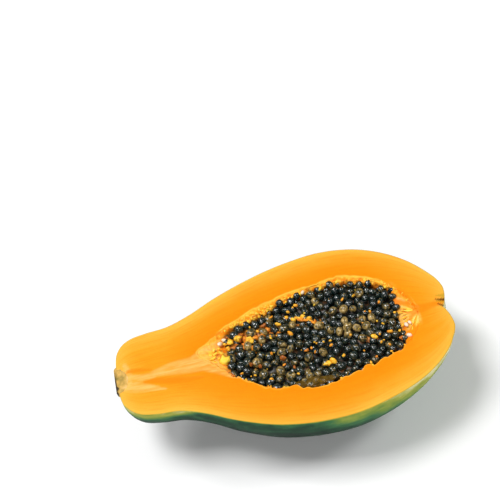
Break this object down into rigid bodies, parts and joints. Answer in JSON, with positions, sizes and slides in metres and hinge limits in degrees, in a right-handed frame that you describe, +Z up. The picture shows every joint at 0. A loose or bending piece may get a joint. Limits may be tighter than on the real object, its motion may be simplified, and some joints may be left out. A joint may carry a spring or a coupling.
{
  "type": "papaya half",
  "caption": "Half of a ripe papaya cut lengthwise, lying on its skin: orange flesh, green rind, an open cavity heaped with dark round seeds, and a cut stem stub in the neck.",
  "frame": {"origin": "on the table, under the middle of the whole object's box", "axes": "+Z up, square to the cut face; +X along the fruit from the stem stub to the blossom end; +Y towards the far edge in the picture"},
  "size_m": [0.2289, 0.1332, 0.064],
  "materials": {
    "flesh": "moist cut fruit flesh, deep orange by the cavity and yellower towards a thin green rind",
    "seed": "wet black-green and olive seeds, glossy",
    "stem": "dry tan and olive cut stem tissue with a dark crust outside"
  },
  "bodies": {
    "root": {"papaya_half": "flesh", "seed_heap": "seed", "stem_stub": "stem"}
  },
  "joints": []
}
